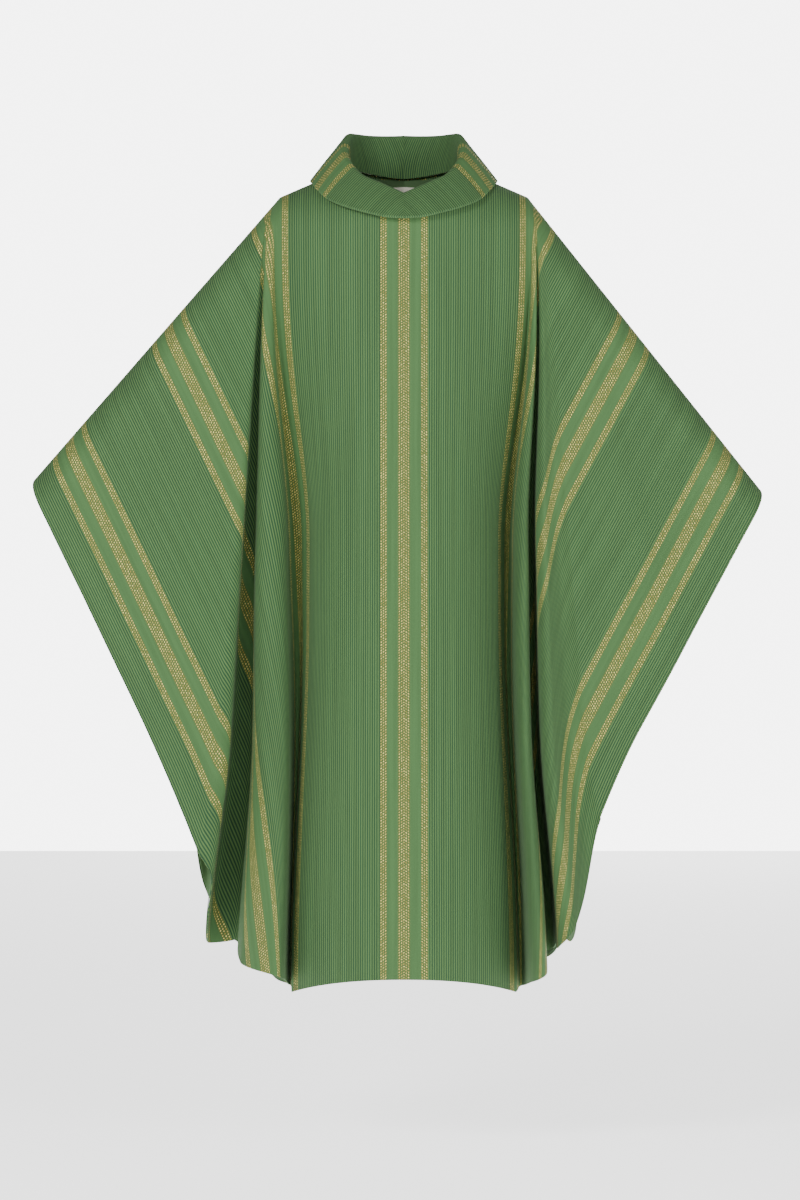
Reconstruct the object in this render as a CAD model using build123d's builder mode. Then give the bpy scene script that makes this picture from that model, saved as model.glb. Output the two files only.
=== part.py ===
from build123d import *
import os
from math import cos, hypot, radians, sin, sqrt, tan

# Chasuble with a rolled collar, in millimetres. +Z is up and the front faces -Y.
# The wearer's left is +X. Origin: middle of the neck opening, at shoulder height.

# ---------------------------------------------------------------- overall sizes
garment_length = 1248.0  # shoulder seam down to the hem
shoulder_half_width = 195.0  # neck centre to the shoulder point, where a wing starts
wing_reach = 380.0  # shoulder point out to the wrist corner, measured level
arm_slope = 51.0  # fall of the shoulder ridge below level along the arm, degrees
sleeve_edge_length = 530.0  # free edge of the wing, wrist corner down to the curve
sleeve_edge_lean = 26.5  # lean of that edge from upright, towards the body, degrees
corner_bulge = 40.0  # how far the lower corner curve stands off its chord

# ------------------------------------------------------------------ cloth layers
cloth = 2.0  # folded thickness of the woven cloth
layer_gap = 0.4  # room between one layer and the next
hinge_gap = 1.0  # room between the panels and each wing
facing = 1.0  # thickness of the turned hem facing
facing_width = 30.0  # depth of the turned hem facing
tape = 0.8  # thickness of the stay tape in the shoulder seam
tape_width = 14.0  # width of the stay tape

# ------------------------------------------------------- depth over the wearer
front_depth = 118.0  # seam to chest, at the centre line
back_depth = 108.0  # seam to shoulder blades, at the centre line
front_hem_depth = 165.0  # seam to front hem, at the centre line
back_hem_depth = 150.0  # seam to back hem, at the centre line
chest_round = 90.0  # drop over which the cloth turns from level to upright
arm_round = 50.0  # radius of the ridge over the arm
wing_flare = 7.8  # lean of each wing leaf away from the arm, degrees

# ------------------------------------------------------------------------ collar
neck_half_width = 92.0  # neck cut in the panels
neck_half_depth = 77.0
collar_seat = 5.0  # how far outside the neck cut the collar stand is sewn
seam_clearance = 2.0  # stand's lower edge above the cloth that it is sewn to
roll_side_inset = 4.0  # roll line, the top fold of the collar, inside the neck cut
roll_front_reach = 15.0  # and in front of it
roll_back_inset = 7.0
roll_front_height = -3.0
roll_back_height = 89.0
roll_sweep = 0.62  # under 1, so that the roll line drops to a V at the front
fall_side_reach = 62.0  # loose outer edge of the collar, beyond the roll line
fall_front_reach = 28.0
fall_back_reach = 48.0
edge_front_height = -40.0
edge_side_height = 9.0
edge_back_height = -12.0
roll_radius = 8.0  # outside radius of the fold at the roll line
collar_cloth = 1.6  # top collar and under collar
interlining = 0.8  # stiffening between them
neck_facing_width = 20.0  # ring that finishes the neck seam inside

# ------------------------------------------------------------------ woven label
label_width = 50.0
label_drop = 55.0
label_thickness = 0.6
label_start = 40.0  # drop of its sewn edge, on the neck facing
label_gap = 1.5  # between the label and the facing it is sewn to

# --------------------------------------------------------------- derived values
slope = radians(arm_slope)
flare = radians(wing_flare)
arm_direction = (cos(slope), 0, -sin(slope))
wrist = (
    shoulder_half_width + wing_reach,
    -wing_reach * tan(slope),
)
sleeve_foot = (
    wrist[0] - sleeve_edge_length * sin(radians(sleeve_edge_lean)),
    wrist[1] - sleeve_edge_length * cos(radians(sleeve_edge_lean)),
)
roll_half_width = neck_half_width - roll_side_inset
roll_front_depth = neck_half_depth + roll_front_reach
roll_back_depth = neck_half_depth - roll_back_inset
edge_half_width = roll_half_width + fall_side_reach
edge_front_depth = roll_front_depth + fall_front_reach
edge_back_depth = roll_back_depth + fall_back_reach
beyond = 2.5 * facing_width  # room by which cutting shapes pass the cloth
facing_out = cloth + layer_gap
facing_in = facing_out + facing
tape_out = facing_out
tape_in = tape_out + tape
front = -1
back = 1


def mix(start, end, share):
    """Straight blend from start to end."""
    return start + (end - start) * share


# ------------------------------------------------------------ shape of the cloth
def section_radii(x, facing_side):
    """Depth and drop of the round over the shoulder, and the slope below it, at x."""
    share = (x / shoulder_half_width) ** 2
    depth = front_depth if facing_side == front else back_depth
    hem = front_hem_depth if facing_side == front else back_hem_depth
    side_round = arm_round / cos(slope)
    centre_lean = (hem - depth) / (garment_length - chest_round)
    side_lean = tan(flare) * cos(slope)
    return (
        mix(depth, arm_round, share),
        mix(chest_round, side_round, share),
        mix(centre_lean, side_lean, share),
    )


def cloth_depth(x, drop, facing_side, inward):
    """Distance of the cloth from the seam plane at x, a drop below the shoulder."""
    depth, round_drop, lean = section_radii(x, facing_side)
    depth = depth - inward
    round_drop = round_drop - inward
    below_top = max(drop - inward, 0.0)
    if below_top < round_drop:
        share = 1.0 - below_top / round_drop
        return depth * sqrt(1.0 - share * share)
    return depth + lean * (below_top - round_drop)


def cloth_height(x, y):
    """Height of the cloth's outer face over the shoulder at x, y."""
    depth, round_drop, _ = section_radii(x, front if y < 0 else back)
    share = min(abs(y) / depth, 1.0)
    return -round_drop * (1.0 - sqrt(1.0 - share * share))


def panel_curve(x, facing_side, inward):
    """Points down one face of the panel at x, from the shoulder seam to the hem."""
    round_drop = section_radii(x, facing_side)[1]
    turns = [0.0, 0.03, 0.12, 0.28, 0.5, 0.75]
    drops = [inward + (round_drop - inward) * turn for turn in turns]
    below = [round_drop + (garment_length - round_drop) * part / 4 for part in range(5)]
    return [
        (facing_side * cloth_depth(x, drop, facing_side, inward), -drop)
        for drop in drops + below
    ]


def panel_shell(facing_side, outward, inward):
    """One skin of the front or back panel, between two depths below its outer face."""
    reach = shoulder_half_width - hinge_gap / 2
    with BuildPart() as shell:
        for x in (-reach, 0, reach):
            outer = panel_curve(x, facing_side, outward)
            inner = panel_curve(x, facing_side, inward)
            with BuildSketch(Plane.YZ.offset(x)):
                with BuildLine():
                    Spline(*outer)
                    Line(outer[-1], inner[-1])
                    Spline(*inner)
                    Line(inner[0], outer[0])
                make_face()
        loft()
    return shell.part


def ellipse_prism(half_width, half_depth):
    """Upright oval column that cuts the neck opening."""
    with BuildPart() as column:
        with BuildSketch(Plane.XY.offset(-garment_length / 4)):
            Ellipse(half_width, half_depth)
        extrude(amount=garment_length / 2)
    return column.part


def make_panel(facing_side):
    """Front or back panel with its half of the neck opening."""
    with BuildPart() as panel:
        add(panel_shell(facing_side, 0, cloth))
        add(ellipse_prism(neck_half_width, neck_half_depth), mode=Mode.SUBTRACT)
    return panel.part


def make_hem_facing(facing_side):
    """Turned hem inside the panel, a strip along its lower edge."""
    with BuildPart() as strip:
        add(panel_shell(facing_side, facing_out, facing_in))
        with BuildSketch(Plane.XY.offset(-garment_length + facing_width)):
            Rectangle(4 * shoulder_half_width, 4 * front_hem_depth)
        extrude(amount=garment_length, mode=Mode.SUBTRACT)
    return strip.part


def make_neck_facing(facing_side):
    """Ring inside the panel that finishes the neck seam."""
    with BuildPart() as ring:
        add(panel_shell(facing_side, facing_out, facing_in))
        add(
            ellipse_prism(
                neck_half_width + neck_facing_width,
                neck_half_depth + neck_facing_width,
            ),
            mode=Mode.INTERSECT,
        )
        add(ellipse_prism(neck_half_width, neck_half_depth), mode=Mode.SUBTRACT)
    return ring.part


def make_shoulder_tape(side):
    """Stay tape under the shoulder seam, from the neck facing to the shoulder point."""
    inner_end = neck_half_width + neck_facing_width + layer_gap
    outer_end = shoulder_half_width - hinge_gap / 2
    with BuildPart() as strip:
        add(panel_shell(front, tape_out, tape_in))
        add(panel_shell(back, tape_out, tape_in))
        with BuildSketch(Plane.XY.offset(-chest_round)):
            with Locations((side * (inner_end + outer_end) / 2, 0)):
                Rectangle(outer_end - inner_end, tape_width)
        extrude(amount=2 * chest_round, mode=Mode.INTERSECT)
    return strip.part


# ------------------------------------------------------------------------- wings
def wing_leaf(facing_side, outward, inward):
    """Long prism along the arm: half of the ridge and one hanging leaf."""
    centre = (0, -arm_round)
    leaf = garment_length
    arc_size = facing_side * -(90 - wing_flare)
    fall = (facing_side * sin(flare), -cos(flare))
    start = Plane(
        origin=(shoulder_half_width, 0, 0),
        x_dir=(0, 1, 0),
        z_dir=arm_direction,
    )
    with BuildPart() as prism:
        with BuildSketch(start):
            with BuildLine():
                outer = CenterArc(centre, arm_round - outward, 90, arc_size)
                inner = CenterArc(centre, arm_round - inward, 90, arc_size)
                outer_leaf = Line(
                    outer @ 1,
                    outer @ 1 + Vector(fall[0] * leaf, fall[1] * leaf),
                )
                inner_leaf = Line(
                    inner @ 1,
                    inner @ 1 + Vector(fall[0] * leaf, fall[1] * leaf),
                )
                Line(outer @ 0, inner @ 0)
                Line(outer_leaf @ 1, inner_leaf @ 1)
            make_face()
        extrude(amount=2 * garment_length, both=True)
    return prism.part


def wing_outline():
    """Front view of the wing, running past the ridge and past the shoulder point."""
    inner_x = shoulder_half_width - beyond
    hem_corner = (shoulder_half_width, -garment_length)
    along = (cos(slope) * beyond, -sin(slope) * beyond)
    above = (sin(slope) * beyond, cos(slope) * beyond)
    edge = (sin(radians(sleeve_edge_lean)), cos(radians(sleeve_edge_lean)))
    past_wrist = (wrist[0] + edge[0] * 2 * beyond, wrist[1] + edge[1] * 2 * beyond)
    with BuildSketch() as outline:
        with BuildLine():
            Line((inner_x, -garment_length), hem_corner)
            SagittaArc(hem_corner, sleeve_foot, -corner_bulge)
            Line(sleeve_foot, past_wrist)
            Line(past_wrist, (past_wrist[0] - along[0], past_wrist[1] + above[1]))
            Line(
                (past_wrist[0] - along[0], past_wrist[1] + above[1]),
                (inner_x, 2 * beyond + above[1]),
            )
            Line((inner_x, 2 * beyond + above[1]), (inner_x, -garment_length))
        make_face()
    return outline.sketch


def wing_side():
    """Block that keeps the wing outside the shoulder point."""
    start = shoulder_half_width + hinge_gap / 2
    with BuildPart() as block:
        with BuildSketch(Plane.YZ.offset(start)):
            Rectangle(4 * garment_length, 4 * garment_length)
        extrude(amount=2 * garment_length)
    return block.part


def outline_block(inset):
    """Block over the front view of the wing, its edges moved in by the inset."""
    with BuildPart() as block:
        with BuildSketch(Plane.XZ):
            add(wing_outline())
            if inset > 0:
                offset(amount=-inset, kind=Kind.INTERSECTION, mode=Mode.REPLACE)
        extrude(amount=garment_length, both=True)
    return block.part


def make_wing(facing_side):
    """Front or back leaf of the wearer's left wing."""
    with BuildPart() as wing:
        add(wing_leaf(facing_side, 0, cloth))
        add(wing_side(), mode=Mode.INTERSECT)
        add(outline_block(0), mode=Mode.INTERSECT)
    return wing.part


def make_wing_facing(facing_side):
    """Turned hem inside the wing, along its sleeve edge, lower corner and hem."""
    with BuildPart() as strip:
        add(wing_leaf(facing_side, facing_out, facing_in))
        add(wing_side(), mode=Mode.INTERSECT)
        add(outline_block(0), mode=Mode.INTERSECT)
        add(outline_block(facing_width), mode=Mode.SUBTRACT)
    return strip.part


def make_wing_tape():
    """Stay tape under the ridge of the wearer's left wing."""
    with BuildPart() as strip:
        add(wing_leaf(front, tape_out, tape_in))
        add(wing_leaf(back, tape_out, tape_in))
        add(wing_side(), mode=Mode.INTERSECT)
        with BuildSketch(Plane.XY.offset(-garment_length)):
            with Locations((shoulder_half_width + wing_reach / 2 - facing_width, 0)):
                Rectangle(wing_reach - facing_width, tape_width)
        extrude(amount=2 * garment_length, mode=Mode.INTERSECT)
    return strip.part


# ------------------------------------------------------------------------ collar
def ring_radius(turn, half_width, front_half_depth, back_half_depth):
    """Distance from the neck axis to an oval ring at this turn, 0 being +X."""
    half_depth = front_half_depth if turn < 0 else back_half_depth
    across = half_depth * cos(radians(turn))
    along = half_width * sin(radians(turn))
    return half_width * half_depth / hypot(across, along)


def roll_height(turn):
    """Height of the roll line, a V at the front that climbs to the back."""
    share = (1 + sin(radians(turn))) / 2
    return mix(roll_front_height, roll_back_height, share**roll_sweep)


def edge_height(turn):
    """Height of the collar's loose edge, highest over the shoulders."""
    share = abs(sin(radians(turn))) ** 1.5
    return mix(edge_side_height, edge_front_height if turn < 0 else edge_back_height, share)


def collar_band(outward, inward):
    """One layer of the wearer's left half of the collar: fall, roll and stand."""
    turns = range(-90, 91, 15)
    seat_half_width = neck_half_width + collar_seat
    seat_half_depth = neck_half_depth + collar_seat
    with BuildPart() as band:
        for turn in turns:
            outward_x = cos(radians(turn))
            outward_y = sin(radians(turn))
            plane = Plane(
                origin=(0, 0, 0),
                x_dir=(outward_x, outward_y, 0),
                z_dir=(outward_y, -outward_x, 0),
            )
            seat = ring_radius(turn, seat_half_width, seat_half_depth, seat_half_depth)
            roll = Vector(
                ring_radius(turn, roll_half_width, roll_front_depth, roll_back_depth),
                roll_height(turn) - roll_radius,
            )
            edge = Vector(
                ring_radius(turn, edge_half_width, edge_front_depth, edge_back_depth),
                edge_height(turn),
            )
            cut = ring_radius(turn, neck_half_width, neck_half_depth, neck_half_depth)
            foot = Vector(
                seat,
                cloth_height(cut * outward_x, cut * outward_y) + seam_clearance,
            )
            fall = edge - roll
            stand = foot - roll
            fall_side = Vector(-fall.Y, fall.X).normalized()
            stand_side = Vector(stand.Y, -stand.X).normalized()
            crown = (fall_side + stand_side).normalized()
            with BuildSketch(plane):
                with BuildLine():
                    for depth in (outward, inward):
                        reach = roll_radius - depth
                        Line(edge + fall_side * reach, roll + fall_side * reach)
                        ThreePointArc(
                            roll + fall_side * reach,
                            roll + crown * reach,
                            roll + stand_side * reach,
                        )
                        Line(roll + stand_side * reach, foot + stand_side * reach)
                    Line(
                        edge + fall_side * (roll_radius - outward),
                        edge + fall_side * (roll_radius - inward),
                    )
                    Line(
                        foot + stand_side * (roll_radius - outward),
                        foot + stand_side * (roll_radius - inward),
                    )
                make_face()
        loft()
    return band.part


def make_label():
    """Blank woven label that hangs from the neck facing inside the back."""
    label_y = cloth_depth(label_width / 2, label_start, back, facing_in) - label_gap
    with BuildPart() as tab:
        with BuildSketch(Plane.XZ.offset(-label_y)):
            with Locations((0, -label_start)):
                Rectangle(label_width, label_drop, align=(Align.CENTER, Align.MAX))
        extrude(amount=label_thickness)
    return tab.part


# ------------------------------------------------------------------- write nodes
def write(piece, name):
    """Label one finished piece and write its STEP file."""
    piece.label = name
    export_step(piece, f"parts/{name}.step")


def write_pair(piece, name):
    """Write the wearer's left piece and its mirror image on the right."""
    with BuildPart() as twin:
        add(piece)
        mirror(about=Plane.YZ, mode=Mode.REPLACE)
    write(piece, f"{name}_left")
    write(twin.part, f"{name}_right")


os.makedirs("parts", exist_ok=True)

write(make_panel(front), "front_panel")
write(make_panel(back), "back_panel")
write(make_hem_facing(front), "front_hem_facing")
write(make_hem_facing(back), "back_hem_facing")
write(make_neck_facing(front), "front_neck_facing")
write(make_neck_facing(back), "back_neck_facing")
write(make_shoulder_tape(1), "shoulder_tape_left")
write(make_shoulder_tape(-1), "shoulder_tape_right")
write(make_label(), "neck_label")

write_pair(make_wing(front), "front_wing")
write_pair(make_wing(back), "back_wing")
write_pair(make_wing_facing(front), "front_wing_facing")
write_pair(make_wing_facing(back), "back_wing_facing")
write_pair(make_wing_tape(), "wing_tape")

interlining_out = collar_cloth + layer_gap
under_out = interlining_out + interlining + layer_gap
write_pair(collar_band(0, collar_cloth), "top_collar")
write_pair(collar_band(interlining_out, interlining_out + interlining), "collar_interlining")
write_pair(collar_band(under_out, under_out + collar_cloth), "under_collar")
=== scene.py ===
import bpy
import numpy as np
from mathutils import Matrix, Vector


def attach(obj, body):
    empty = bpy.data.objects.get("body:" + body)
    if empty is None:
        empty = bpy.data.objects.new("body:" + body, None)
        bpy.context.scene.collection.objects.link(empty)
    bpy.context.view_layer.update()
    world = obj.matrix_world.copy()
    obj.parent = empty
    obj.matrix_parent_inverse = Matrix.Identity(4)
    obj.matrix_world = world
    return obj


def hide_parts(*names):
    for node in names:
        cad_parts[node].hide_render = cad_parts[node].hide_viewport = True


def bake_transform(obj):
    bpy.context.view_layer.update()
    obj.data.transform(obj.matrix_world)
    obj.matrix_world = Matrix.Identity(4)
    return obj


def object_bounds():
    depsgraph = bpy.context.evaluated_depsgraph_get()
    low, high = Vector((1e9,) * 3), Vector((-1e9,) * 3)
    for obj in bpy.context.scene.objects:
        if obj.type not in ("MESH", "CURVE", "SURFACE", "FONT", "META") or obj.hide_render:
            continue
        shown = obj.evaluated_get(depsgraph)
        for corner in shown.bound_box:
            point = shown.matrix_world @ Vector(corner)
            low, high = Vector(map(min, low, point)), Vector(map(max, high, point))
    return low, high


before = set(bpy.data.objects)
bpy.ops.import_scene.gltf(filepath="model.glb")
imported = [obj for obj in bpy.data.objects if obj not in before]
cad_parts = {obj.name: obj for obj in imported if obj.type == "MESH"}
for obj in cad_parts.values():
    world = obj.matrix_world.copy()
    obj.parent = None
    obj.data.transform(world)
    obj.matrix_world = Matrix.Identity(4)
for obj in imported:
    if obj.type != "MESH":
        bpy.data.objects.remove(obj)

cad_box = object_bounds()

# Chasuble with a rolled collar, in metres. The front faces -Y and the wearer's left is +X.
# A place on the cloth is given by its flat cut: across, out from the centre line, and
# down, from the height of the neck. The drape turns that flat place into one in space.
FRONT, BACK = -1, 1
LEFT, RIGHT = 1, -1
FACE_NAMES = {FRONT: "front", BACK: "back"}
SIDE_NAMES = {LEFT: "left", RIGHT: "right"}

# ------------------------------------------------------------------------ flat cut
HALF_CUT = 0.735  # centre line to the straight sleeve edge
SHOULDER = np.array((0.196, 0.012))  # shoulder point on the cut: across, down
SEAM_FALL = np.radians(23.0)  # slope of the shoulder seam on the cut
NECK_HALF_WIDTH = 0.092
NECK_DOWN = {FRONT: 0.100, BACK: 0.028}  # flat drop of the neckline at the centre
HEM_DOWN = 1.288  # the hem at the centre line
HEM_RISE = 0.160  # the hem has risen this much where its corner starts
HEM_CURVE = 2.6  # power of that rise, nearly level in the middle
CORNER_START = 0.610  # across, where the hem turns into the rounded corner
SLEEVE_FOOT_DOWN = 0.930  # the straight sleeve edge ends here
FACING_WIDTH = 0.030  # turned hem
NECK_FACING_WIDTH = 0.022
TAPE_HALF_WIDTH = 0.007
SHOULDER_STAY = (0.118, 0.190)  # across-values where each tape starts and ends
WING_STAY = (0.200, 0.620)

# ------------------------------------------------------------------- how it drapes
SHOULDER_HEIGHT = -0.012  # of the shoulder point
PANEL_TURN = 0.20  # turn of the panel at the shoulder seam, in radians
ARM_ROUND = 0.045  # radius of the cloth over the arm
CENTRE_ROUND = {FRONT: 0.112, BACK: 0.100}  # and over the shoulders at the centre line
WING_FLARE = np.radians(4.0)  # lean of a wing leaf away from the arm
SIDE_BACK_OFF = 0.60  # how much of its turn takes the panel's edge back
BACK_OFF_BELOW_SEAM = (0.02, 0.30)  # it comes in over these distances down
BACK_OFF_BELOW_NECK = (0.0, 0.25)
ROUND_CURVE = 2.2  # power of the change from CENTRE_ROUND to ARM_ROUND
# Turn that the panel gains on its way down, as (from, to, radians).
PANEL_TURN_STEPS = {
    FRONT: ((0.10, 0.58, 0.97), (0.70, 1.28, -0.35)),
    BACK: ((0.10, 0.70, 0.65),),
}
# Distance that the centre line moves out on its way down, as (from, to, distance).
CENTRE_STEPS = {
    FRONT: ((0.15, 0.35, 0.006), (0.30, 1.30, 0.050)),
    BACK: ((0.30, 1.30, 0.045),),
}
OPEN_OUT_SPAN = (0.85, 1.15)  # from the shoulder point, where a wing leaf opens out
GATHER_SPAN = (0.45, 1.15)  # and where the rolls draw in
FOLD_GROWTH = 0.34  # the folds reach full depth this far from the shoulder point
CREASE_ANGLE = 0.05  # creases grow over this angle past the folds
CREASE_BELOW = 0.12  # and over this distance below the seam
FOLD_SOFTNESS = 0.012  # length of cloth over which a fold's heading is evened out
PROBE_STEP = 0.001  # short step on the cut that finds which way the cloth faces

# ------------------------------------------------------------------ cloth thickness
THICKNESS = 0.0016  # woven cloth
FACING_THICKNESS = 0.0008
FACING_DEPTH = 0.0024  # facing's outer face, below the cloth's outer face
FACING_INSET = 0.002  # turned hem's edge, in from the cloth's edge
NECK_FACING_INSET = 0.001
LABEL_DEPTH = 0.0040
LABEL_HALF_WIDTH, LABEL_DROP, LABEL_START = 0.025, 0.055, 0.040

# ------------------------------------------------------------------------- collar
# Keys are (turn about the neck in degrees, reach, height); -90 is the centre front.
ROLL_KEYS = (
    (-90, 0.090, -0.0136), (-64, 0.0925, 0.005), (-50, 0.097, 0.015),
    (-38, 0.099, 0.0295), (-26, 0.099, 0.046), (-13, 0.096, 0.062), (0, 0.092, 0.0765),
    (18, 0.090, 0.092), (30, 0.089, 0.0935), (49, 0.086, 0.0935), (90, 0.067, 0.0935),
)
EDGE_KEYS = (
    (-90, 0.1235, -0.0526), (-76, 0.1254, -0.0505), (-63, 0.1313, -0.0433),
    (-49, 0.1388, -0.0335), (-38, 0.1455, -0.0225), (-24, 0.1464, -0.0040),
    (-12, 0.1460, 0.0090), (0, 0.1466, 0.0160), (20, 0.1450, 0.0150),
    (50, 0.1300, 0.0040), (90, 0.1020, -0.0140),
)
ROLL_RADIUS = 0.008  # outside radius of the fold at the roll line
FALL_BULGE = 0.0012  # the fall is a little rounder than flat
COLLAR_LIFT = 0.002  # stand's lower edge above the neck edge
COLLAR_CLOTH = 0.0014
TURN_DEPTH = 0.0050  # the loose edge is turned in by this depth
TURN_WIDTH = 0.008  # and this far
COLLAR_STRIPE_TURN = -22.0  # where the stripe group crosses the collar

# ------------------------------------------------------------- points on each sheet
CLOTH_ROWS = 200
NECK_COLUMNS, MIDDLE_COLUMNS, CORNER_COLUMNS = 20, 140, 30
HEM_POINTS, CORNER_POINTS, SLEEVE_POINTS = 90, 40, 60
FACING_ROWS = 6
NECK_FACING_POINTS = 73
TAPE_POINTS, TAPE_ROWS = 60, 7
LABEL_COLUMNS, LABEL_ROWS = 17, 15
COLLAR_POINTS, NECK_SEAM_POINTS = 91, 90
STAND_ROWS, ROLL_ROWS, FALL_ROWS, TURN_ROWS = 12, 12, 26, 6
FOLD_POINTS = 400
SMOOTH_ANGLE = np.radians(50)  # sharper edges than this stay sharp

# ------------------------------------------------------------------- woven stripes
STRIPE_PITCH = 0.218  # from one group of stripes to the next
GROUP_WIDTH = 0.074
NARROW_OFFSET = 0.0316  # narrow band to the middle of the wide one
WIDE_BAND = 0.0188
NARROW_BAND = 0.0107
DASH_COLUMN = 0.0035  # gold threads show as short dashes in columns
DASH_ROW = 0.0042
DASH_LEAN = 0.5  # rows of dashes that one column is ahead of the next
DASH_EDGE = (0.3, 1.4)  # from bare ground to full gold, on the dashes' wave
BAND_EDGE = 0.0006  # half width of the soft edge of a band
RIB_PITCH = 0.0037
RIB_EDGE = (-0.8, 0.8)  # from dark rib to light rib, on the ribs' wave
RIB_DARK = "#22432c"
RIB_LIGHT = "#4f6e3d"
GROUND_PLAIN = "#43653a"
GOLD_DULL = "#96823a"
# The brighter gold is a painted glint on the thread.
GOLD_GLINT = "#f0da80"
BAND_GROUND = "#4c6233"
NOISE_RANGE = (0.3, 0.7)  # the part of a noise that is used
STREAK_SCALE, STREAK_STRETCH = 140.0, 0.02  # long uneven streaks down the cloth
STREAK_SHADE = (0.90, 1.08)
NAP_SCALE = 900.0
NAP_SHADE = (-0.08, 0.08)
GLINT_SCALE = 420.0  # painted glints, patches where the gold thread is painted brighter
GLINT_RANGE = (0.42, 0.62)
CLOTH_SPECULAR = 0.25
WOOL_ROUGHNESS, GOLD_ROUGHNESS = 0.85, 0.45
GOLD_METAL = 0.35
RIB_RELIEF, GOLD_RELIEF, NAP_RELIEF = 0.5, 0.8, 0.5  # shares of the relief's height
RELIEF_HEIGHT, RELIEF_STRENGTH = 0.0006, 0.6

# ----------------------------------------------------------------- light and camera
FLOOR_GAP = 0.25  # floor below the hem, as when the garment is worn
FLOOR_SIZE = 14
FLOOR_GLOW = 1.8
SKY_LIGHT = 0.13
BACKDROP_LIGHT = 6.0
LAMPS = (  # name, place, size, power
    ("key", (-2.4, -3.4, 1.6), 1.4, 172),
    ("fill", (2.8, -3.2, 0.6), 2.0, 105),
    ("back", (1.0, 7.2, 1.4), 4.4, 280),
)
LAMP_AIM = (0, 0, -0.6)
CAMERA_PLACE = (-0.006, -6.0, -0.644)
CAMERA_SENSOR, CAMERA_LENS = 36, 114.6


def smooth(low, high, value):
    """0 below low, 1 above high, and a smooth step between."""
    t = np.clip((value - low) / (high - low), 0.0, 1.0)
    return t * t * (3.0 - 2.0 * t)


class Fold:
    """Folds that fan out below the shoulder point, as one bent line at unit distance.

    Each run is (length of cloth, heading at its end in degrees); heading 0 runs
    outwards, positive headings run in towards the wearer, negative ones away.
    """

    def __init__(self, start_heading, runs):
        lengths = np.cumsum([0.0] + [run[0] for run in runs])
        headings = np.radians([start_heading] + [run[1] for run in runs])
        self.cloth = lengths[-1]
        self.at = np.linspace(0.0, self.cloth, FOLD_POINTS)
        heading = np.interp(self.at, lengths, headings)
        width = max(3, int(FOLD_POINTS * FOLD_SOFTNESS / self.cloth))
        kernel = np.hanning(width + 2)
        padded = np.pad(heading, width, mode="edge")
        heading = np.convolve(padded, kernel / kernel.sum(), mode="same")[width:-width]
        step = self.cloth / (FOLD_POINTS - 1)
        out = np.concatenate(([0.0], np.cumsum(np.cos(heading[:-1]) * step)))
        inward = np.concatenate(([0.0], np.cumsum(np.sin(heading[:-1]) * step)))
        self.share = out / out[-1]
        self.depth = inward - self.share * inward[-1]

    def place(self, turn, valley):
        """Share of the way across the folds, and depth towards the wearer."""
        share = np.interp(turn, self.at, self.share)
        depth = np.interp(turn, self.at, self.depth)
        return share, np.where(depth > 0, depth * valley, depth)


# A rounded roll of cloth with a shadowed valley before it and a deep one behind it.
DEEP_ROLL = Fold(56, (
    (0.030, 76), (0.030, -76), (0.075, -82), (0.110, 82), (0.100, 92),
    (0.045, -88), (0.120, -92), (0.030, 0),
))
# A narrower roll and a softer second one beside it.
TWO_ROLLS = Fold(56, (
    (0.030, 76), (0.030, -76), (0.060, -82), (0.085, 82), (0.085, 92),
    (0.035, -86), (0.075, -88), (0.060, 50), (0.050, 45), (0.064, 0),
))
# Softer folds of the back.
SOFT_FOLDS = Fold(44, (
    (0.036, 40), (0.040, -52), (0.090, -58), (0.060, 74), (0.100, 80),
    (0.038, -68), (0.085, -70), (0.055, 46), (0.034, 40), (0.034, 0),
))

# turn: how far the wing leaf is turned down, in degrees
# open_out: how much less it is turned at its foot
# valley: share of the folds' inward depth that is kept
# gather: how far the rolls draw in towards the panel at the foot
# creases: soft ridges and hollows of the wing, as (angle past the folds, half width,
#   height at unit distance)
SIDES = {
    (FRONT, RIGHT): dict(
        folds=DEEP_ROLL, turn=26.0, open_out=1.0, valley=0.58, gather=0.29,
        creases=((0.10, 0.05, 0.010), (0.33, 0.07, -0.007), (0.56, 0.06, 0.005)),
    ),
    (FRONT, LEFT): dict(
        folds=TWO_ROLLS, turn=28.5, open_out=1.6, valley=0.80, gather=0.12,
        creases=((0.08, 0.045, -0.009), (0.19, 0.05, 0.011), (0.42, 0.08, -0.006)),
    ),
    (BACK, RIGHT): dict(
        folds=SOFT_FOLDS, turn=26.0, open_out=1.0, valley=0.60, gather=0.10,
        creases=((0.12, 0.06, 0.008), (0.40, 0.08, -0.006)),
    ),
    (BACK, LEFT): dict(
        folds=SOFT_FOLDS, turn=28.5, open_out=1.6, valley=0.60, gather=0.10,
        creases=((0.15, 0.06, 0.008), (0.45, 0.08, -0.006)),
    ),
}


# ------------------------------------------------------------------ flat-cut edges
def seam_down(across):
    """The shoulder seam and sleeve-top seam on the cut, one straight line."""
    return SHOULDER[1] + (across - SHOULDER[0]) * np.tan(SEAM_FALL)


def neckline(turn, face, wider=0.0):
    """Neckline on the cut, turn 0 at the centre line and a right angle at the seam."""
    reach = NECK_HALF_WIDTH + wider
    corner = seam_down(reach)
    depth = NECK_DOWN[face] + wider - corner
    return reach * np.sin(turn), corner + depth * np.cos(turn)


def top_down(across, face):
    """Upper edge of the cut: the neckline, then the shoulder seam."""
    turn = np.arcsin(np.clip(across / NECK_HALF_WIDTH, 0.0, 1.0))
    return np.where(across < NECK_HALF_WIDTH, neckline(turn, face)[1], seam_down(across))


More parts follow.
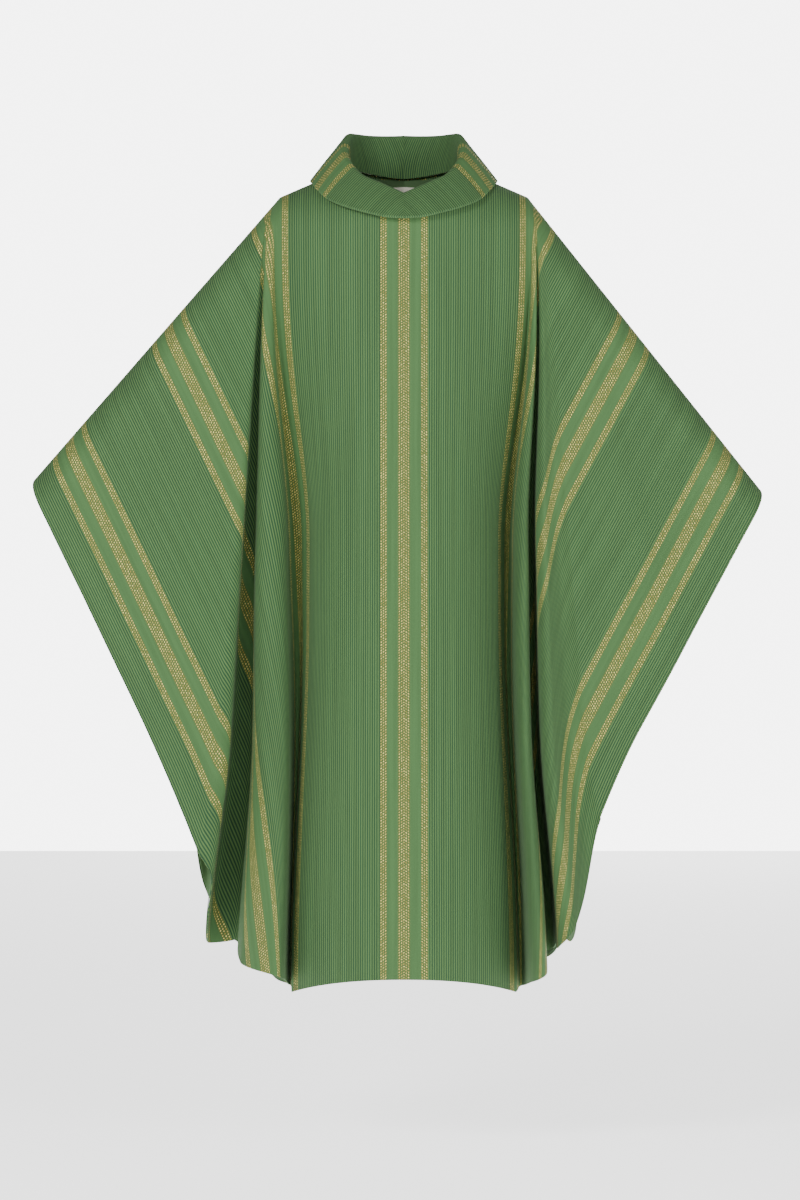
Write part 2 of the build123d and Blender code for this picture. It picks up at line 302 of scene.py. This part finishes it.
def hem_down(across):
    """Lower edge of the cut: a slow rise, then the rounded corner."""
    out = np.minimum(across, CORNER_START) / CORNER_START
    slow = HEM_DOWN - HEM_RISE * out**HEM_CURVE
    share = np.clip((across - CORNER_START) / (HALF_CUT - CORNER_START), 0.0, 1.0)
    corner_drop = HEM_DOWN - HEM_RISE - SLEEVE_FOOT_DOWN
    return slow - corner_drop * (1.0 - np.sqrt(1.0 - share**2))


# ---------------------------------------------------------------------- the drape
def chest_round(across, face):
    """Radius of the cloth over the shoulder, from the arm in to the centre line."""
    centre = CENTRE_ROUND[face]
    share = np.clip(across / SHOULDER[0], 0.0, 1.0)
    return centre + (ARM_ROUND - centre) * share**ROUND_CURVE


def in_steps(value, steps, down):
    """A value with smooth steps added on the way down, each (from, to, amount)."""
    for start, end, amount in steps:
        value = value + amount * smooth(start, end, down)
    return value


def over_round(below, radius):
    """Drop and depth of cloth that goes over a round and then hangs."""
    angle = np.clip(below / radius, 0.0, np.pi / 2)
    drop = radius * (1.0 - np.cos(angle)) + np.maximum(below - radius * np.pi / 2, 0.0)
    return drop, radius * np.sin(angle)


def panel(across, down, face):
    """The part of the cloth between the centre line and the shoulder point.

    The panel is bent round a radius about an upright line, so its edge turns back.
    """
    ridge_down = seam_down(across)
    drop, depth = over_round(down - ridge_down, chest_round(across, face))
    radius = SHOULDER[0] / in_steps(PANEL_TURN, PANEL_TURN_STEPS[face], down)
    x = radius * np.sin(across / radius)
    back_off = SIDE_BACK_OFF * radius * (1.0 - np.cos(across / radius))
    share = smooth(*BACK_OFF_BELOW_SEAM, down - ridge_down)
    centre = in_steps(0.0, CENTRE_STEPS[face], down)
    depth = depth + centre - back_off * share * smooth(*BACK_OFF_BELOW_NECK, down)
    z = SHOULDER[1] + SHOULDER_HEIGHT - ridge_down - drop
    return np.stack((x, face * depth, z), -1)


def wing(distance, angle, side, face):
    """The leaf over the arm, turned down in its own plane about the shoulder point."""
    choice = SIDES[(face, side)]
    opened = choice["open_out"] * smooth(*OPEN_OUT_SPAN, distance)
    turn = np.radians(choice["turn"] - opened)
    hang = angle - turn
    seam_angle = np.pi / 2 - SEAM_FALL
    below = np.maximum(distance * np.sin(seam_angle - angle), 0.0)
    drop, depth = over_round(below, ARM_ROUND)
    lift = below - drop
    normal = seam_angle - turn - np.pi / 2
    start_x = SHOULDER[0] * np.sin(PANEL_TURN) / PANEL_TURN
    x = start_x + distance * np.sin(hang) - lift * np.sin(normal)
    z = SHOULDER_HEIGHT - distance * np.cos(hang) + lift * np.cos(normal)
    depth = depth + np.tan(WING_FLARE) * np.maximum(below - ARM_ROUND, 0.0)
    past = angle - choice["folds"].cloth
    ease = smooth(0.0, CREASE_ANGLE, past) * smooth(0.0, CREASE_BELOW, below) * distance
    for centre, half_width, height in choice["creases"]:
        depth = depth + ease * height * np.exp(-(((past - centre) / half_width) ** 2))
    return np.stack((x, face * depth, z), -1)


def drape(across, down, side, face):
    """Flat place on one half of the front or back cloth to its place in space.

    Above and inside the shoulder point's line the cloth is the panel. Past it come
    the folds, which fan out below the shoulder point, and then the wing leaf.
    """
    choice = SIDES[(face, side)]
    folds = choice["folds"]
    rel = np.stack((across - SHOULDER[0], down - SHOULDER[1]), -1)
    distance = np.linalg.norm(rel, axis=-1)
    angle = np.arctan2(rel[..., 0], rel[..., 1])
    inner = panel(np.minimum(across, SHOULDER[0]), down, face)
    start = panel(np.full_like(across, SHOULDER[0]), SHOULDER[1] + distance, face)
    end = wing(distance, np.full_like(across, folds.cloth), side, face)
    outer = wing(distance, angle, side, face)
    share, depth = folds.place(np.clip(angle, 0.0, folds.cloth), choice["valley"])
    drawn = choice["gather"] * smooth(*GATHER_SPAN, distance)
    share = share - drawn * np.sin(np.pi * share)
    grow = distance * smooth(0.0, FOLD_GROWTH, distance)
    between = start + (end - start) * share[..., None]
    between[..., 1] -= face * depth * grow
    place = np.where((angle > folds.cloth)[..., None], outer, between)
    place = np.where((across <= SHOULDER[0])[..., None], inner, place)
    place[..., 0] *= side
    return place


def drape_inside(across, down, side, face, depth):
    """The same place, but a depth below the outer face of the cloth."""
    place = drape(across, down, side, face)
    out = drape(across + PROBE_STEP, down, side, face) - place
    fall = drape(across, down + PROBE_STEP, side, face) - place
    normal = np.cross(out, fall) * side * face
    normal /= np.maximum(np.linalg.norm(normal, axis=-1, keepdims=True), 1e-9)
    return place - normal * depth


# --------------------------------------------------------------------------- mesh
def cut_columns():
    """Across-values of the cloth's columns, closer together at round ends."""
    quarter = np.pi / 2
    neck = NECK_HALF_WIDTH * np.sin(np.linspace(0.0, quarter, NECK_COLUMNS))
    corner_turn = np.linspace(0.0, quarter, CORNER_COLUMNS)
    corner = CORNER_START + (HALF_CUT - CORNER_START) * np.sin(corner_turn)
    middle = np.linspace(NECK_HALF_WIDTH, CORNER_START, MIDDLE_COLUMNS)
    return np.concatenate((neck, middle[1:], corner[1:]))


def sheet_mesh(name, places, flat, thickness, flip):
    """A sheet of one thickness from a grid of places, with its flat cut as UV map."""
    rows, columns = places.shape[:2]
    index = np.arange(rows * columns).reshape(rows, columns)
    faces = np.stack((index[:-1, :-1], index[1:, :-1], index[1:, 1:], index[:-1, 1:]), -1)
    faces = faces.reshape(-1, 4)
    mesh = bpy.data.meshes.new(name)
    mesh.from_pydata(places.reshape(-1, 3).tolist(), [], faces.tolist())
    uv = mesh.uv_layers.new(name="flat_cut")
    corners = np.empty(len(mesh.loops), dtype=np.int32)
    mesh.loops.foreach_get("vertex_index", corners)
    uv.data.foreach_set("uv", flat.reshape(-1, 2)[corners].ravel().astype(np.float32))
    if flip:
        mesh.flip_normals()
    piece = bpy.data.objects.new(name, mesh)
    bpy.context.scene.collection.objects.link(piece)
    bpy.ops.object.select_all(action="DESELECT")
    bpy.context.view_layer.objects.active = piece
    piece.select_set(True)
    modifier = piece.modifiers.new("thickness", "SOLIDIFY")
    modifier.thickness = thickness
    modifier.offset = -1.0
    bpy.ops.object.modifier_apply(modifier=modifier.name)
    bpy.ops.object.shade_smooth_by_angle(angle=SMOOTH_ANGLE)
    return piece


def finish(piece, material, replaced):
    """Give the piece its material and hide the CAD nodes it stands for."""
    piece.data.materials.append(material)
    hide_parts(*replaced)


def over_wing(piece):
    """Bake the piece's place in space into its mesh."""
    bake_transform(piece)


# ------------------------------------------------------------------------- pieces
def cloth_half(face, side):
    """One half of the front or back cloth, from the centre line to the sleeve edge."""
    across = cut_columns()
    top = top_down(across, face)
    share = np.linspace(0.0, 1.0, CLOTH_ROWS)[:, None]
    down = top + (hem_down(across) - top) * share
    across = np.broadcast_to(across, down.shape)
    flat = np.stack((side * across, -down), -1)
    face_name, side_name = FACE_NAMES[face], SIDE_NAMES[side]
    places = drape(across, down, side, face)
    name = f"{face_name}_cloth_{side_name}"
    piece = sheet_mesh(name, places, flat, THICKNESS, face * side > 0)
    replaced = (f"{face_name}_panel", f"{face_name}_wing_{side_name}")
    finish(piece, woven, replaced)
    over_wing(piece)


def edge_facing(face, side):
    """Turned hem inside the lower edge, the corner and the sleeve edge."""
    corner_turn = np.linspace(0.0, np.pi / 2, CORNER_POINTS)
    hem = np.linspace(0.0, CORNER_START, HEM_POINTS)[:-1]
    corner = CORNER_START + (HALF_CUT - CORNER_START) * np.sin(corner_turn)
    sleeve_top = seam_down(HALF_CUT) + FACING_WIDTH
    sleeve = np.linspace(SLEEVE_FOOT_DOWN, sleeve_top, SLEEVE_POINTS)[1:]
    edge = np.concatenate((
        np.stack((hem, hem_down(hem)), -1),
        np.stack((corner, hem_down(corner)), -1),
        np.stack((np.full_like(sleeve, HALF_CUT), sleeve), -1),
    ))
    along = np.gradient(edge, axis=0)
    inward = np.stack((along[:, 1], -along[:, 0]), -1)
    inward /= np.linalg.norm(inward, axis=-1, keepdims=True)
    inward[0] = (0.0, -1.0)
    rows = np.linspace(FACING_INSET, FACING_WIDTH, FACING_ROWS)[:, None, None]
    flat = edge + inward * rows
    places = drape_inside(flat[..., 0], flat[..., 1], side, face, FACING_DEPTH)
    face_name, side_name = FACE_NAMES[face], SIDE_NAMES[side]
    flat = np.stack((side * flat[..., 0], -flat[..., 1]), -1)
    name = f"{face_name}_edge_facing_{side_name}"
    piece = sheet_mesh(name, places, flat, FACING_THICKNESS, face * side < 0)
    replaced = (f"{face_name}_hem_facing", f"{face_name}_wing_facing_{side_name}")
    finish(piece, lining, replaced)
    over_wing(piece)
    return piece


def neck_facing(face):
    """Shaped facing that finishes the neck seam inside, on both sides of the centre."""
    turn = np.linspace(-np.pi / 2, np.pi / 2, NECK_FACING_POINTS)
    wider = np.linspace(NECK_FACING_INSET, NECK_FACING_WIDTH, FACING_ROWS)[:, None]
    across, down = neckline(np.abs(turn), face, wider)
    left = drape_inside(across, down, LEFT, face, FACING_DEPTH)
    right = drape_inside(across, down, RIGHT, face, FACING_DEPTH)
    places = np.where((turn > 0)[None, :, None], left, right)
    flat = np.stack((np.sign(turn) * across, -down), -1)
    name = f"{FACE_NAMES[face]}_neckline_facing"
    piece = sheet_mesh(name, places, flat, FACING_THICKNESS, face > 0)
    replaced = (f"{FACE_NAMES[face]}_neck_facing",)
    finish(piece, lining, replaced)
    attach(piece, "body")
    return piece


def stay_tape(name, side, span, replaced):
    """Narrow tape sewn under the shoulder seam, half in front and half behind."""
    first, last = span
    across = np.linspace(first, last, TAPE_POINTS)
    rows = np.linspace(-TAPE_HALF_WIDTH, TAPE_HALF_WIDTH, TAPE_ROWS)[:, None]
    down = seam_down(across) + np.abs(rows)
    across = np.broadcast_to(across, down.shape)
    front = drape_inside(across, down, side, FRONT, FACING_DEPTH)
    behind = drape_inside(across, down, side, BACK, FACING_DEPTH)
    places = np.where((rows < 0)[..., None], front, behind)
    flat = np.stack((side * across, np.broadcast_to(rows, across.shape)), -1)
    piece = sheet_mesh(name, places, flat, FACING_THICKNESS, side > 0)
    finish(piece, tape_weave, (replaced,))
    over_wing(piece)
    return piece


def blank_label():
    """Blank woven label that hangs inside the back of the neck."""
    across = np.linspace(-LABEL_HALF_WIDTH, LABEL_HALF_WIDTH, LABEL_COLUMNS)
    down = np.linspace(LABEL_START, LABEL_START + LABEL_DROP, LABEL_ROWS)[:, None]
    across, down = np.broadcast_arrays(across, down)
    left = drape_inside(np.abs(across), down, LEFT, BACK, LABEL_DEPTH)
    right = drape_inside(np.abs(across), down, RIGHT, BACK, LABEL_DEPTH)
    places = np.where((across > 0)[..., None], left, right)
    flat = np.stack((across, -down), -1)
    piece = sheet_mesh("blank_label", places, flat, FACING_THICKNESS, True)
    finish(piece, ribbon, ("neck_label",))
    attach(piece, "body")
    return piece


# ------------------------------------------------------------------------- collar
def through(keys, at):
    """Smooth curve through given keys (place, value, value, ...)."""
    keys = np.array(keys)
    place, values = keys[:, 0], keys[:, 1:]
    slope = np.gradient(values, place, axis=0)
    at = np.asarray(at, dtype=float)
    index = np.clip(np.searchsorted(place, at) - 1, 0, len(place) - 2)
    span = (place[index + 1] - place[index])[:, None]
    t = ((at - place[index])[:, None]) / span
    low, high = values[index], values[index + 1]
    low_slope, high_slope = slope[index] * span, slope[index + 1] * span
    return (
        low * (1 + 2 * t) * (1 - t) ** 2 + low_slope * t * (1 - t) ** 2
        + high * t * t * (3 - 2 * t) + high_slope * t * t * (t - 1)
    )


def neck_seam(turn):
    """Reach and height of the cloth's neck edge at each turn about the neck."""
    fine = np.linspace(0.0, np.pi / 2, NECK_SEAM_POINTS)
    ring = []
    for face in (FRONT, BACK):
        across, down = neckline(fine, face)
        place = drape(across, down, LEFT, face)
        ring.append(place if face == FRONT else place[::-1])
    ring = np.concatenate(ring)
    at = np.degrees(np.arctan2(ring[:, 1], ring[:, 0]))
    reach = np.hypot(ring[:, 0], ring[:, 1])
    order = np.argsort(at)
    return (
        np.interp(turn, at[order], reach[order]),
        np.interp(turn, at[order], ring[order, 2]),
    )


def collar_section(turn, depth, end_short, turn_back):
    """One layer of the collar at each turn, from the neck seam over the roll.

    Rows run along the layer in its upright plane: reach out from the neck, height.
    """
    roll = through(ROLL_KEYS, turn)
    edge = through(EDGE_KEYS, turn)
    foot = np.stack(neck_seam(turn), -1)
    foot[:, 1] += COLLAR_LIFT
    roll = roll - np.array((0.0, ROLL_RADIUS))
    fall = edge - roll
    length = np.linalg.norm(fall, axis=-1, keepdims=True)
    along = fall / length
    fall_side = np.stack((-along[:, 1], along[:, 0]), -1)
    edge = edge - fall_side * ROLL_RADIUS - along * end_short
    stand = foot - roll
    down = stand / np.linalg.norm(stand, axis=-1, keepdims=True)
    stand_side = np.stack((down[:, 1], -down[:, 0]), -1)
    reach = ROLL_RADIUS - depth
    rows = []
    for t in np.linspace(0.0, 1.0, STAND_ROWS)[:-1]:
        rows.append(foot + (roll - foot) * t + stand_side * reach)
    start = np.arctan2(stand_side[:, 1], stand_side[:, 0])
    end = np.arctan2(fall_side[:, 1], fall_side[:, 0])
    start = np.where(start < end, start + 2 * np.pi, start)
    for t in np.linspace(0.0, 1.0, ROLL_ROWS)[:-1]:
        angle = start + (end - start) * t
        rows.append(roll + reach * np.stack((np.cos(angle), np.sin(angle)), -1))
    for t in np.linspace(0.0, 1.0, FALL_ROWS):
        bulge = FALL_BULGE * np.sin(np.pi * t)
        rows.append(roll + (edge - roll) * t + fall_side * (reach + bulge))
    if turn_back:
        radius = TURN_DEPTH / 2
        centre = edge + fall_side * (reach - radius)
        for angle in np.radians(np.linspace(60, -90, TURN_ROWS)):
            out = fall_side * np.sin(angle) + along * np.cos(angle)
            rows.append(centre + radius * out)
        rows.append(edge - along * TURN_WIDTH + fall_side * (reach - TURN_DEPTH))
    return np.stack(rows)


def collar_layer(name, side, depth, thickness, end_short, turn_back):
    """One layer of half of the collar, from the front mitre to the centre back."""
    turn = np.linspace(-90.0, 90.0, COLLAR_POINTS)
    section = collar_section(turn, depth, end_short, turn_back)
    angle = np.radians(turn)
    places = np.stack((
        side * section[..., 0] * np.cos(angle),
        section[..., 0] * np.sin(angle),
        section[..., 1],
    ), -1)
    places[:, (0, -1), 0] = 0.0
    steps = np.linalg.norm(np.diff(places, axis=1), axis=-1)
    along = np.concatenate((np.zeros((len(places), 1)), np.cumsum(steps, axis=1)), axis=1)
    start = [np.interp(COLLAR_STRIPE_TURN, turn, row) for row in along]
    down_steps = np.linalg.norm(np.diff(places, axis=0), axis=-1)
    down = np.concatenate((np.zeros((1, len(turn))), np.cumsum(down_steps, axis=0)))
    flat = np.stack((side * (along - np.array(start)[:, None]), -down), -1)
    piece = sheet_mesh(name, places, flat, thickness, side < 0)
    widths, lengths = along[:, -1], down[-1]
    width, length = float(widths.max()), float(lengths.max())
    area = float(widths.mean() * lengths.mean())
    return piece, (width, length, area)


def collar_half(side):
    """Top collar, interlining and under collar of one half."""
    hand = SIDE_NAMES[side]
    # name, CAD node, (depth, thickness, edge short by, turned in), material, slot
    layers = (
        ("collar_outer", "top_collar", (0.0, COLLAR_CLOTH, 0.0, True),
         woven, "woven_cloth"),
        ("collar_stiffening", "collar_interlining", (0.0020, 0.0008, 0.004, False),
         canvas, "collar_interlining"),
        ("collar_under", "under_collar", (0.0032, 0.0012, 0.010, False),
         woven, "woven_cloth"),
    )
    for layer_name, node_name, make, material, slot in layers:
        piece, cut = collar_layer(f"{layer_name}_{hand}", side, *make)
        finish(piece, material, (f"{node_name}_{hand}",))
        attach(piece, "body")


# ---------------------------------------------------------------------- materials
def linear(hex_colour):
    """sRGB hex to a linear colour, with the standard's own numbers."""
    colour = []
    for i in (1, 3, 5):
        value = int(hex_colour[i:i + 2], 16) / 255
        dark = value <= 0.04045
        colour.append(value / 12.92 if dark else ((value + 0.055) / 1.055) ** 2.4)
    return colour + [1.0]


def node(tree, kind, links=None, **settings):
    """Add one node, set its settings and fill or link its sockets."""
    made = tree.nodes.new(kind)
    for key, value in settings.items():
        setattr(made, key, value)
    for socket, source in (links or {}).items():
        if isinstance(source, bpy.types.NodeSocket):
            tree.links.new(source, made.inputs[socket])
        else:
            made.inputs[socket].default_value = source
    return made


def new_material(name, roughness):
    """Empty material with its shader, tree and roughness."""
    material = bpy.data.materials.new(name)
    material.use_nodes = True
    shader = material.node_tree.nodes["Principled BSDF"]
    shader.inputs["Roughness"].default_value = roughness
    return material, material.node_tree, shader


def woven_wool():
    """Green wool with fine ribs and groups of gold stripes, placed on the flat cut.

    Narrow light and dark ribs run down the cloth. Each group has one wide and two
    narrow gold bands, made of short dashes of thread. The surface is matt and soft.
    """
    material, tree, shader = new_material("woven_wool_with_gold", WOOL_ROUGHNESS)
    shader.inputs["Specular IOR Level"].default_value = CLOTH_SPECULAR
    shader.inputs["Sheen Weight"].default_value = 0.12
    shader.inputs["Sheen Roughness"].default_value = 0.5
    shader.inputs["Sheen Tint"].default_value = linear("#b9cfae")

    def noise(place, scale, detail):
        sockets = {"Vector": place, "Scale": scale, "Detail": detail}
        return node(tree, "ShaderNodeTexNoise", sockets).outputs[0]

    def maths(operation, first, second=0.0, third=0.0):
        links = {0: first, 1: second, 2: third}
        return node(tree, "ShaderNodeMath", links, operation=operation).outputs[0]

    def ramp(value, low, high, to_low=0.0, to_high=1.0):
        links = {0: value, 1: low, 2: high, 3: to_low, 4: to_high}
        made = node(tree, "ShaderNodeMapRange", links, interpolation_type="SMOOTHSTEP")
        return made.outputs[0]

    def mix(share, one, two):
        made = node(tree, "ShaderNodeMix", {0: share, 6: one, 7: two}, data_type="RGBA")
        return made.outputs[2]

    uv = node(tree, "ShaderNodeUVMap", uv_map="flat_cut").outputs[0]
    parts = node(tree, "ShaderNodeSeparateXYZ", {0: uv})
    across, down = parts.outputs[0], parts.outputs[1]
    half = STRIPE_PITCH / 2
    in_group = maths("WRAP", across, half, -half)
    off = maths("ABSOLUTE", in_group)
    off_narrow = maths("ABSOLUTE", maths("SUBTRACT", off, NARROW_OFFSET))

    def inside(distance, width):
        edge = width / 2
        return ramp(distance, edge - BAND_EDGE, edge + BAND_EDGE, 1.0, 0.0)

    band = maths("MAXIMUM", inside(off, WIDE_BAND), inside(off_narrow, NARROW_BAND))
    group = inside(off, GROUP_WIDTH)

    # The dashes lean the same way out from the centre line on both halves.
    mirrored = maths("MULTIPLY", in_group, maths("SIGN", across))
    column = maths("DIVIDE", mirrored, DASH_COLUMN)
    row = maths("DIVIDE", down, DASH_ROW)
    lean = maths("ADD", row, maths("MULTIPLY", column, DASH_LEAN))
    dash_down = maths("SINE", maths("MULTIPLY", lean, 2 * np.pi))
    dash_across = maths("COSINE", maths("MULTIPLY", column, 2 * np.pi))
    dash = ramp(maths("ADD", dash_down, dash_across), *DASH_EDGE)
    gold = maths("MULTIPLY", band, dash)

    rib_wave = maths("SINE", maths("MULTIPLY", across, 2 * np.pi / RIB_PITCH))
    rib = ramp(rib_wave, *RIB_EDGE)
    slow_down = maths("MULTIPLY", down, STREAK_STRETCH)
    stretched = node(tree, "ShaderNodeCombineXYZ", {0: across, 1: slow_down})
    streaks = noise(stretched.outputs[0], STREAK_SCALE, 2.0)
    nap = noise(uv, NAP_SCALE, 2.0)

    ribs = mix(rib, linear(RIB_DARK), linear(RIB_LIGHT))
    ground = mix(group, ribs, linear(GROUND_PLAIN))
    streak_shade = ramp(streaks, *NOISE_RANGE, *STREAK_SHADE)
    shade = maths("ADD", streak_shade, ramp(nap, *NOISE_RANGE, *NAP_SHADE))
    shaded = node(
        tree, "ShaderNodeVectorMath", {0: ground, 3: shade}, operation="SCALE"
    ).outputs[0]
    # Painted glints: noise patches where the gold thread's colour turns brighter.
    glint = noise(uv, GLINT_SCALE, 1.0)
    threads = mix(ramp(glint, *GLINT_RANGE), linear(GOLD_DULL), linear(GOLD_GLINT))
    colour = mix(band, shaded, mix(dash, linear(BAND_GROUND), threads))
    tree.links.new(colour, shader.inputs["Base Color"])
    roughness = ramp(gold, 0.0, 1.0, WOOL_ROUGHNESS, GOLD_ROUGHNESS)
    tree.links.new(roughness, shader.inputs["Roughness"])
    tree.links.new(maths("MULTIPLY", gold, GOLD_METAL), shader.inputs["Metallic"])
    outside = maths("MULTIPLY", rib, maths("SUBTRACT", 1.0, group))
    rib_height = maths("MULTIPLY", outside, RIB_RELIEF)
    height = maths("ADD", rib_height, maths("MULTIPLY", gold, GOLD_RELIEF))
    height = maths("ADD", height, maths("MULTIPLY", nap, NAP_RELIEF))
    sockets = {"Height": height, "Distance": RELIEF_HEIGHT, "Strength": RELIEF_STRENGTH}
    bump = node(tree, "ShaderNodeBump", sockets)
    tree.links.new(bump.outputs[0], shader.inputs["Normal"])
    return material


def plain_weave(name, colour, pitch, roughness=WOOL_ROUGHNESS):
    """Plain cloth of one colour with a fine grain."""
    material, tree, shader = new_material(name, roughness)
    shader.inputs["Base Color"].default_value = linear(colour)
    shader.inputs["Specular IOR Level"].default_value = CLOTH_SPECULAR
    place = node(tree, "ShaderNodeTexCoord").outputs["Object"]
    weave = node(
        tree, "ShaderNodeTexNoise", {"Vector": place, "Scale": 1.0 / pitch, "Detail": 3.0}
    )
    bump = node(
        tree, "ShaderNodeBump",
        {"Height": weave.outputs[0], "Distance": pitch / 4, "Strength": 0.5},
    )
    tree.links.new(bump.outputs[0], shader.inputs["Normal"])
    return material


# -------------------------------------------------------------------------- stage
def floor_and_lights():
    """Near-white floor and soft studio light."""
    bpy.ops.object.select_all(action="DESELECT")
    under = (0, 0, cad_box[0][2] - FLOOR_GAP)
    bpy.ops.mesh.primitive_plane_add(size=FLOOR_SIZE, location=under)
    floor = bpy.context.object
    floor.name = "floor"
    material, _, shader = new_material("pale_studio_floor", 0.9)
    shader.inputs["Base Color"].default_value = linear("#f4f4f4")
    shader.inputs["Emission Color"].default_value = (1, 1, 1, 1)
    shader.inputs["Emission Strength"].default_value = FLOOR_GLOW
    floor.data.materials.append(material)
    world = bpy.data.worlds.new("studio")
    world.use_nodes = True
    tree = world.node_tree
    background = tree.nodes["Background"]
    background.inputs["Color"].default_value = (1, 1, 1, 1)
    seen = node(tree, "ShaderNodeLightPath").outputs["Is Camera Ray"]
    strength = node(
        tree, "ShaderNodeMapRange", {0: seen, 3: SKY_LIGHT, 4: BACKDROP_LIGHT}
    ).outputs[0]
    tree.links.new(strength, background.inputs["Strength"])
    bpy.context.scene.world = world
    for name, place, size, power in LAMPS:
        light = bpy.data.lights.new(name, "AREA")
        light.size = size
        light.energy = power
        lamp = bpy.data.objects.new(name, light)
        lamp.location = place
        aim = Vector(LAMP_AIM) - lamp.location
        lamp.rotation_euler = aim.to_track_quat("-Z", "Y").to_euler()
        bpy.context.scene.collection.objects.link(lamp)


def add_camera():
    """Level camera in front of the garment's middle."""
    data = bpy.data.cameras.new("camera")
    data.sensor_fit = "VERTICAL"
    data.sensor_height = CAMERA_SENSOR
    data.lens = CAMERA_LENS
    camera = bpy.data.objects.new("camera", data)
    camera.location = CAMERA_PLACE
    camera.rotation_euler = (np.pi / 2, 0, 0)
    bpy.context.scene.collection.objects.link(camera)
    bpy.context.scene.camera = camera


woven = woven_wool()
lining = plain_weave("plain_green_facing", "#4f6b47", 0.0008)
tape_weave = plain_weave("cotton_stay_tape", "#6f8064", 0.0006)
ribbon = plain_weave("blank_satin_label", "#e6e2d2", 0.0005, 0.5)
canvas = plain_weave("stiff_collar_canvas", "#d9d4c4", 0.0010)

tapes = {}
for side in (LEFT, RIGHT):
    hand = SIDE_NAMES[side]
    tapes[side] = [
        stay_tape(f"shoulder_stay_{hand}", side, SHOULDER_STAY, f"shoulder_tape_{hand}"),
        stay_tape(f"wing_stay_{hand}", side, WING_STAY, f"wing_tape_{hand}"),
    ]
necks = {face: neck_facing(face) for face in (FRONT, BACK)}
label = blank_label()
for face in (FRONT, BACK):
    for side in (LEFT, RIGHT):
        inside = [edge_facing(face, side), necks[face]]
        if face == BACK:
            inside += tapes[side] + [label]
        cloth_half(face, side)
for side in (LEFT, RIGHT):
    collar_half(side)

floor_and_lights()
add_camera()
